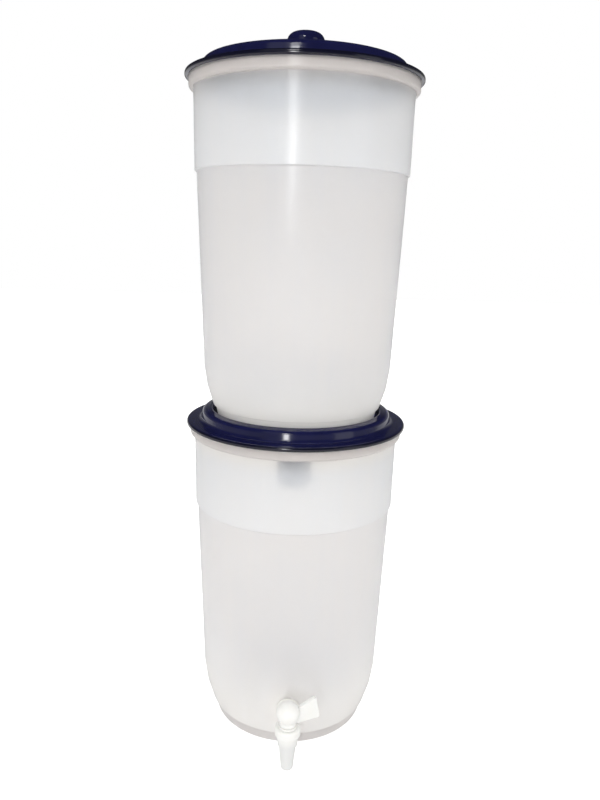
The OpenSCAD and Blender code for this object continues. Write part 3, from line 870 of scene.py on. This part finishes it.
def lid_corners(sizes, skirt_low, hole_r):
    """Outline of a lid above the rim that it sits on."""
    lip_r = high("lower_lid").x
    lip_in_r = lip_r - sizes.lip_t
    shell = sizes.shell
    crest_r = sizes.crest_in_r + sizes.draft
    inner_crest = sizes.crest_h
    outer_crest = inner_crest - sizes.crest_fall
    return [
        (hole_r, sizes.floor_h, 0.0005),
        (sizes.crest_in_r, sizes.floor_h, 0.0012),
        (crest_r, inner_crest, sizes.crest_in_round),
        (sizes.crest_out_r, outer_crest, sizes.crest_out_round),
        (sizes.rise_r, sizes.flange_h, sizes.rise_round),
        (lip_r, sizes.flange_h, sizes.lip_round),
        (lip_r, 0, 0.0009),
        (lip_r - sizes.lip_slope, -sizes.lip_drop, 0.0006),
        (lip_in_r, -sizes.lip_drop, 0.0003),
        (lip_in_r, 0, 0),
        (sizes.skirt_r, 0, 0),
        (sizes.skirt_r, skirt_low, 0.0009),
        (sizes.skirt_r - sizes.skirt_t, skirt_low, 0.0009),
        (sizes.skirt_r - sizes.skirt_t, sizes.flange_h - shell, 0.0005),
        (sizes.rise_r - shell, sizes.flange_h - shell, sizes.rise_round - shell),
        (sizes.crest_out_r - shell, outer_crest - shell, sizes.crest_out_round - shell),
        (crest_r + shell, inner_crest - shell, 0.0005),
        (sizes.crest_in_r + shell, sizes.floor_h - shell, 0.0005),
        (hole_r, sizes.floor_h - shell, 0.0005),
    ]


class CARBONFILTER_OT_lids(Operator):
    """Make the two lids"""

    bl_idname = "carbon_filter.lids"
    bl_label = "Lids"

    def execute(self, context):
        sizes = context.scene.carbon_filter.lid
        for node, under, hole_r in (
            ("lower_lid", "lower_bucket", sizes.filter_hole_r),
            ("upper_lid", "upper_bucket", sizes.screw_hole_r),
        ):
            rim_z = high(under).z
            corners = lid_corners(sizes, low(node).z - rim_z, hole_r)
            turned = lathe(corners, BUCKET_STEPS, Matrix.Translation((0, 0, rim_z)))
            made = as_object(node + "_moulding", turned)
            seat(made, node, node, "navy_plastic")
        return {"FINISHED"}


class CARBONFILTER_OT_knob(Operator):
    """Make the knob with its screw and washer"""

    bl_idname = "carbon_filter.knob"
    bl_label = "Knob"

    def execute(self, context):
        sizes = context.scene.carbon_filter.knob
        foot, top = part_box("lid_knob")
        r = top.x
        shell = sizes.shell
        side_top = top.z - sizes.crown
        pilot_top = foot.z + sizes.pilot_depth
        corners = [
            (0, pilot_top, 0),
            (sizes.pilot_r, pilot_top, 0),
            (sizes.pilot_r, foot.z, 0.0004),
            (sizes.boss_r, foot.z, 0.0004),
            (sizes.boss_r, side_top - shell, 0.001),
            (r - sizes.draft - shell, side_top - shell, sizes.top_round - shell),
            (r - shell, foot.z, 0.0005),
            (r, foot.z, 0.0008),
            (r - sizes.draft, side_top, sizes.top_round),
            (0, top.z, 0),
        ]
        made = as_object("lid_knob_moulding", lathe(corners))
        seat(made, "lid_knob", "upper_lid", "navy_plastic")
        for node in ("knob_washer", "knob_screw"):
            dress(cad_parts[node], "steel")
        return {"FINISHED"}


class CARBONFILTER_OT_filter_neck(Operator):
    """Make the neck through the upper base, its strainer, seals and nut"""

    bl_idname = "carbon_filter.filter_neck"
    bl_label = "Filter neck"

    def execute(self, context):
        sizes = context.scene.carbon_filter.filter
        self.make_head(sizes)
        self.make_strainer(sizes)
        self.make_ring_nut(sizes)
        for node in ("head_seal", "base_washer"):
            bottom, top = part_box(node)
            made = as_object(
                node + "_ring", ring(sizes.neck_r + sizes.seal_gap, top.x, bottom.z, top.z, 0.0004)
            )
            seat(made, node, "feed", "seal_rubber")
        return {"FINISHED"}

    def make_head(self, sizes):
        end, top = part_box("filter_head")
        root_r = sizes.neck_r - sizes.thread_depth
        under = top.z - sizes.head_t
        plain_z = under - sizes.neck_plain
        lead_in = 0.001
        corners = [
            (sizes.neck_bore_r, end.z, 0.0004),
            (root_r, end.z, 0.0006),
            (root_r, plain_z, 0),
            (sizes.neck_r, plain_z + sizes.thread_depth, 0),
            (sizes.neck_r, under, 0.0004),
            (top.x, under, 0.0005),
            (top.x, top.z, 0.0015),
            (sizes.neck_bore_r, top.z, 0.0008),
        ]
        made = as_object("filter_head_moulding", lathe(corners))
        ridge = thread(root_r, sizes.neck_r, end.z + lead_in, plain_z, sizes.neck_pitch)
        combined(made, "UNION", ridge)
        seat(made, "filter_head", "feed", "white_plastic")

    def make_strainer(self, sizes):
        end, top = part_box("strainer_cap")
        seat_z = high("filter_head").z
        wall = sizes.strainer_t
        corners = [
            (sizes.spigot_r - wall, end.z, 0.0004),
            (sizes.spigot_r, end.z, 0.0006),
            (sizes.spigot_r, seat_z, 0.0003),
            (top.x, seat_z, 0.0004),
            (top.x, seat_z + wall, 0.0007),
            (sizes.strainer_r, seat_z + wall, 0.0006),
            (sizes.strainer_r, top.z, sizes.dome_round),
        ]
        inner = [
            (sizes.strainer_r - wall, top.z - wall, sizes.dome_round - wall),
            (sizes.strainer_r - wall, seat_z + wall, 0.0006),
            (sizes.spigot_r - wall, seat_z, 0.0006),
        ]
        chain = [(0, top.z - wall, 0), *inner, *corners, (0, top.z, 0)]
        made = as_object("strainer_moulding", lathe(chain))
        slot_low = (sizes.strainer_r - 2 * wall, -sizes.slot_w / 2, seat_z + 2 * wall)
        slot_high = (sizes.strainer_r + wall, sizes.slot_w / 2, top.z - sizes.dome_round)
        slots = around([block(slot_low, slot_high) for _ in range(sizes.slot_count)])
        combined(made, "DIFFERENCE", slots)
        seat(made, "strainer_cap", "feed", "white_plastic")

    def make_ring_nut(self, sizes):
        bottom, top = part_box("ring_nut")
        body_r = top.x - sizes.lug_reach
        made = as_object(
            "ring_nut_moulding", ring(sizes.neck_r + sizes.seal_gap, body_r, bottom.z, top.z, 0.0007)
        )
        lug_low = (body_r - 2 * OVERLAP, -sizes.lug_w / 2, bottom.z + sizes.lug_inset)
        lug_high = (top.x, sizes.lug_w / 2, top.z - sizes.lug_inset)
        lugs = [block(lug_low, lug_high) for _ in range(sizes.lug_count)]
        for lug in lugs:
            round_edges(lug, lug.edges[:], 0.0009)
        combined(made, "UNION", around(lugs))
        seat(made, "ring_nut", "feed", "white_plastic")


class CARBONFILTER_OT_filter_cup(Operator):
    """Make the hanging cup and its filling"""

    bl_idname = "carbon_filter.filter_cup"
    bl_label = "Filter cup"

    def execute(self, context):
        sizes = context.scene.carbon_filter.filter
        bottom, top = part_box("filter_cup")
        r = top.x
        floor = bottom.z + sizes.cup_wall
        corners = [
            (0, bottom.z, 0),
            (r, bottom.z, sizes.cup_round),
            (r, top.z, 0.0006),
            (sizes.cup_in_r, top.z, 0.0006),
            (sizes.cup_in_r, floor, 0.0008),
            (0, floor, 0),
        ]
        made = as_object("filter_cup_moulding", lathe(corners))
        drips = []
        for share, count in ((0, 1), (0.4, 6), (0.75, 12)):
            for i in range(count):
                turn = i * FULL_TURN / count
                spot = Vector((share * sizes.cup_in_r, 0, 0))
                spot.rotate(Matrix.Rotation(turn, 3, "Z"))
                place = Matrix.Translation(spot)
                drips.append(rod(sizes.drip_r, bottom.z - OVERLAP, floor + OVERLAP, steps=20, place=place))
        combined(made, "DIFFERENCE", gathered(drips))
        seat(made, "filter_cup", "filter_cup", "navy_plastic")
        self.make_filling(sizes)
        return {"FINISHED"}

    def make_filling(self, sizes):
        bottom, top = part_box("cup_gasket")
        gasket = as_object("cup_gasket_ring", ring(sizes.cup_in_r, top.x, bottom.z, top.z, 0.0005))
        seat(gasket, "cup_gasket", "filter_cup", "seal_rubber")
        for node, rounding, slot in (
            ("upper_pad", 0.0011, "felt"),
            ("lower_pad", 0.0011, "felt"),
            ("carbon_bed", 0.0004, "carbon"),
        ):
            bottom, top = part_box(node)
            fill = rod(top.x, bottom.z, top.z, FITTING_STEPS, low_round=rounding, high_round=rounding)
            made = as_object(node + "_fill", fill)
            seat(made, node, "filter_cup", slot)


def tail_place(sizes):
    """Turns a solid that runs along Z so that it runs along the tap's tail, at its height."""
    return Matrix.Translation((0, 0, sizes.tail_z)) @ ALONG_Y


def tap_axis():
    """Middle line of the tap's plug."""
    bottom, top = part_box("tap_plug")
    return Matrix.Translation((0, (bottom.y + top.y) / 2, 0))


class CARBONFILTER_OT_tap(Operator):
    """Make the tap's body, back nut and washers"""

    bl_idname = "carbon_filter.tap"
    bl_label = "Tap"

    def execute(self, context):
        settings = context.scene.carbon_filter
        self.make_body(settings.tap)
        self.make_back_nut(settings.tap)
        self.make_saddle(settings.tap, settings.bucket)
        for node, slot in (
            ("tap_inner_washer", "white_rubber"),
            ("tap_plug", "white_plastic"),
            ("plug_o_rings", "seal_rubber"),
        ):
            dress(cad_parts[node], slot)
        return {"FINISHED"}

    def make_body(self, sizes):
        tip_z = low("tap_body").z
        tail_end = high("tap_body").y
        flange_y = low("tap_outer_washer").y
        axis = tap_axis()
        axis_y = axis.translation.y
        collar_top = sizes.tail_z + sizes.neck_r
        collar_low = collar_top - sizes.collar_h
        plug_low = sizes.tail_z - 2 * sizes.tail_bore_r
        barrel_low = plug_low - sizes.barrel_floor
        barrel_r = sizes.collar_r - sizes.collar_step
        barrel = lathe(
            [
                (0, tip_z, 0),
                (sizes.tip_r, tip_z, 0.0009),
                (sizes.spout_top_r, barrel_low, 0.0003),
                (sizes.spout_top_r + sizes.spout_step, barrel_low, 0.0003),
                (barrel_r, collar_low, 0.0008),
                (sizes.collar_r, collar_low, 0.0014),
                (sizes.collar_r, collar_top, sizes.collar_round),
                (0, collar_top, 0),
            ],
            place=axis,
        )
        made = as_object("tap_body_moulding", barrel)
        root_r = sizes.tail_r - sizes.thread_depth
        plain_y = flange_y + sizes.tail_plain
        root_y = plain_y + sizes.thread_depth
        end_round = 0.0008
        place = tail_place(sizes)
        arm = lathe(
            [
                (0, axis_y, 0),
                (sizes.neck_r, axis_y, 0),
                (sizes.neck_r, flange_y - sizes.flange_t, sizes.flange_round),
                (sizes.flange_r, flange_y - sizes.flange_t, 0.0010),
                (sizes.flange_r, flange_y, 0.0004),
                (sizes.tail_r, flange_y, 0.0003),
                (sizes.tail_r, plain_y, 0.0003),
                (root_r, root_y, 0),
                (root_r, tail_end, end_round),
                (0, tail_end, 0),
            ],
            place=place,
        )
        ridge = thread(root_r, sizes.tail_r, root_y, tail_end - end_round, sizes.tail_pitch, place)
        combined(made, "UNION", arm, ridge)
        combined(
            made, "DIFFERENCE",
            rod(sizes.spout_bore_r, tip_z - OVERLAP, collar_top, place=axis),
            rod(sizes.plug_bore_r, plug_low, collar_top + OVERLAP, place=axis),
            rod(sizes.tail_bore_r, axis_y, tail_end + OVERLAP, place=place),
        )
        seat(made, "tap_body", "receiver", "white_plastic")

    def tail_hole(self, sizes, start, end):
        """Cut that lets the tail through a piece from one end to the other."""
        return rod(sizes.tail_r + sizes.gap, start - OVERLAP, end + OVERLAP, place=tail_place(sizes))

    def make_saddle(self, sizes, bucket):
        """Outer washer, flat against the flange and hollowed to the belly."""
        start, end = low("tap_outer_washer").y, high("tap_outer_washer").y
        washer = rod(sizes.flange_r, start, end, FITTING_STEPS, tail_place(sizes))
        made = as_object("tap_outer_washer_saddle", washer)
        combined(made, "DIFFERENCE", self.tail_hole(sizes, start, end), bucket_core(bucket))
        seat(made, "tap_outer_washer", "receiver", "white_rubber")

    def make_back_nut(self, sizes):
        start, end = low("tap_back_nut").y, high("tap_back_nut").y
        flange_end = start + sizes.nut_flange_t
        flange = rod(
            sizes.nut_flange_r, start, flange_end, FITTING_STEPS, tail_place(sizes),
            low_round=0.0004, high_round=0.0008,
        )
        made = as_object("tap_back_nut_moulding", flange)
        hexagon = bmesh.new()
        bmesh.ops.create_cone(
            hexagon, cap_ends=True, segments=6, radius1=sizes.nut_corner_r, radius2=sizes.nut_corner_r,
            depth=end - start,
        )
        round_edges(hexagon, hexagon.edges[:], 0.0008)
        along = tail_place(sizes) @ Matrix.Translation((0, 0, (start + end) / 2))
        turned = along @ Matrix.Rotation(math.pi / 6, 4, "Z")
        bmesh.ops.transform(hexagon, matrix=turned, verts=hexagon.verts)
        combined(made, "UNION", hexagon)
        combined(made, "DIFFERENCE", self.tail_hole(sizes, start, end))
        seat(made, "tap_back_nut", "receiver", "white_plastic")


class CARBONFILTER_OT_tap_lever(Operator):
    """Make the lever that turns the tap's plug"""

    bl_idname = "carbon_filter.tap_lever"
    bl_label = "Tap lever"

    def execute(self, context):
        sizes = context.scene.carbon_filter.tap
        foot_z = low("tap_lever").z
        axis = tap_axis()
        ball_z = foot_z + sizes.stem_h
        ball = bmesh.new()
        bmesh.ops.create_uvsphere(
            ball, u_segments=64, v_segments=32, radius=sizes.ball_r,
            matrix=axis @ Matrix.Translation((0, 0, ball_z)),
        )
        made = as_object("tap_lever_moulding", ball)
        hub = rod(sizes.hub_r, foot_z, ball_z, place=axis, low_round=0.0008)
        combined(made, "UNION", hub, self.blade(sizes, foot_z, axis))
        half = sizes.stem_w / 2 + sizes.gap
        socket = block((-half, -half, foot_z - OVERLAP), (half, half, ball_z + sizes.gap))
        bmesh.ops.transform(socket, matrix=axis, verts=socket.verts)
        combined(made, "DIFFERENCE", socket)
        seat(made, "tap_lever", "tap_key", "white_plastic")
        return {"FINISHED"}

    def blade(self, sizes, foot_z, axis):
        """Flat blade that widens towards its end."""
        root_top = foot_z + sizes.stem_h + sizes.lever_rise
        bm = bmesh.new()
        points = [
            (0, foot_z),
            (sizes.lever_len, foot_z),
            (sizes.lever_len - sizes.lever_slant, foot_z + sizes.lever_h),
            (sizes.hub_r, root_top),
            (0, root_top),
        ]
        face = bm.faces.new([bm.verts.new((x, -sizes.lever_t / 2, z)) for x, z in points])
        grown = bmesh.ops.extrude_face_region(bm, geom=[face])["geom"]
        moved = [part for part in grown if isinstance(part, bmesh.types.BMVert)]
        bmesh.ops.translate(bm, vec=(0, sizes.lever_t, 0), verts=moved)
        bmesh.ops.recalc_face_normals(bm, faces=bm.faces)
        # The outer end's corners first, then the rims of both flat faces
        across = [edge for edge in bm.edges if self.depth(edge) > sizes.lever_t / 2]
        outer = [edge for edge in across if edge.verts[0].co.x > sizes.hub_r * 1.5]
        round_edges(bm, outer, 0.0020, 5)
        round_edges(bm, [edge for edge in bm.edges if self.depth(edge) < 1e-6], 0.0007)
        turn = axis @ Matrix.Rotation(sizes.lever_turn, 4, "Z")
        bmesh.ops.transform(bm, matrix=turn, verts=bm.verts)
        return bm

    def depth(self, edge):
        """How far an edge runs through the blade's thickness."""
        return abs(edge.verts[0].co.y - edge.verts[1].co.y)


# Studio

class CARBONFILTER_OT_stage(Operator):
    """Make the floor, the light and the camera"""

    bl_idname = "carbon_filter.stage"
    bl_label = "Stage"

    def execute(self, context):
        studio = context.scene.carbon_filter.studio
        self.make_floor(studio)
        self.make_world(context, studio)
        self.make_lamps(context, studio)
        self.make_camera(context, studio)
        context.scene.view_settings.view_transform = "Standard"
        return {"FINISHED"}

    def make_floor(self, studio):
        bm = bmesh.new()
        bmesh.ops.create_grid(bm, x_segments=8, y_segments=8, size=6.0)
        floor = as_object("floor", bm)
        finish = Finish("floor_white")
        seen = self.seen(finish)
        mottle = finish.noise(0.4, 2.0)
        finish.shader(
            Base_Color=finish.blend(mottle, opaque([0.79] * 3), opaque([0.81] * 3)),
            Roughness=0.9,
            Specular_IOR_Level=0.0,
            Emission_Color=finish.blend(seen, opaque([0.0] * 3), opaque([studio.floor_glow] * 3)),
            Emission_Strength=1.0,
        )
        floor.data.materials.append(finish.material)

    def seen(self, nodes):
        """One where the camera looks, straight or through something clear."""
        straight = nodes.node("ShaderNodeLightPath", {}, {}, "Is Camera Ray")
        through = nodes.node("ShaderNodeLightPath", {}, {}, "Is Transmission Ray")
        return straight.maths("MAXIMUM", straight, through)

    def make_world(self, context, studio):
        world = bpy.data.worlds.new("studio")
        world.use_nodes = True
        nodes = Nodes(world.node_tree)
        mirrored = nodes.node("ShaderNodeLightPath", {}, {}, "Is Glossy Ray")
        way = nodes.node("ShaderNodeTexCoord", {}, {}, "Generated")
        rise = nodes.node("ShaderNodeSeparateXYZ", {}, {"Vector": way}, "Z")
        # Glossy faces mirror a room that gets dark overhead
        horizon = 0.02
        overhead = 0.35
        dark = 0.08 * studio.gloss
        wall = nodes.between(rise, horizon, overhead, studio.gloss, dark)
        room = nodes.blend(mirrored, opaque([studio.ambient] * 3), wall)
        light = nodes.blend(self.seen(nodes), room, (1, 1, 1, 1))
        background = nodes.node("ShaderNodeBackground", {}, {"Color": light, "Strength": 1.0})
        nodes.node("ShaderNodeOutputWorld", {}, {"Surface": background})
        context.scene.world = world

    def make_lamps(self, context, studio):
        for name, power, place, aim, size in (
            ("key", studio.key_power, (-0.9, -1.8, 1.9), (0, 0, 0.45), (1.2, 1.2)),
            ("strip", studio.strip_power, (-0.52, -2.9, 0.95), (0, 0, 0.60), (0.30, 0.9)),
            ("spot", studio.spot_power, (-0.50, -2.5, 2.30), (0, 0, 0.74), (0.42, 0.24)),
            ("fill", studio.fill_power, (1.9, -1.2, 1.0), (0, 0, 0.4), (1.0, 1.4)),
        ):
            lamp = bpy.data.lights.new(name, "AREA")
            lamp.shape = "RECTANGLE"
            lamp.size, lamp.size_y = size
            lamp.energy = power
            made = bpy.data.objects.new(name, lamp)
            made.location = place
            made.rotation_euler = (Vector(aim) - Vector(place)).to_track_quat("-Z", "Y").to_euler()
            context.scene.collection.objects.link(made)

    def make_camera(self, context, studio):
        camera = bpy.data.cameras.new("camera")
        camera.lens = studio.lens
        camera.sensor_width = 36.0
        made = bpy.data.objects.new("camera", camera)
        made.location = studio.eye
        turn = Matrix.Rotation(-studio.yaw, 4, "Z") @ Matrix.Rotation(math.pi / 2 - studio.pitch, 4, "X")
        made.rotation_euler = (turn @ Matrix.Rotation(studio.roll, 4, "Z")).to_euler()
        context.scene.collection.objects.link(made)
        context.scene.camera = made


class CARBONFILTER_PT_panel(Panel):
    """Sidebar panel that lists the pieces"""

    bl_idname = "CARBONFILTER_PT_panel"
    bl_label = "Carbon Filter"
    bl_space_type = "VIEW_3D"
    bl_region_type = "UI"
    bl_category = "Carbon Filter"

    def draw(self, context):
        for operator in OPERATORS:
            self.layout.operator(operator.bl_idname)


GROUPS = (
    BucketSizes,
    LidSizes,
    KnobSizes,
    FilterSizes,
    TapSizes,
    FinishColours,
    StudioSettings,
    FilterSettings,
)
OPERATORS = (
    CARBONFILTER_OT_stage,
    CARBONFILTER_OT_buckets,
    CARBONFILTER_OT_lids,
    CARBONFILTER_OT_knob,
    CARBONFILTER_OT_filter_neck,
    CARBONFILTER_OT_filter_cup,
    CARBONFILTER_OT_tap,
    CARBONFILTER_OT_tap_lever,
)
CLASSES = (*GROUPS, *OPERATORS, CARBONFILTER_PT_panel)


def register():
    for made in CLASSES:
        bpy.utils.register_class(made)
    bpy.types.Scene.carbon_filter = PointerProperty(type=FilterSettings)


def unregister():
    del bpy.types.Scene.carbon_filter
    for made in reversed(CLASSES):
        bpy.utils.unregister_class(made)


def main():
    register()
    bpy.ops.carbon_filter.stage()
    bpy.ops.carbon_filter.buckets()
    bpy.ops.carbon_filter.lids()
    bpy.ops.carbon_filter.knob()
    bpy.ops.carbon_filter.filter_neck()
    bpy.ops.carbon_filter.filter_cup()
    bpy.ops.carbon_filter.tap()
    bpy.ops.carbon_filter.tap_lever()


if __name__ == "__main__":
    main()
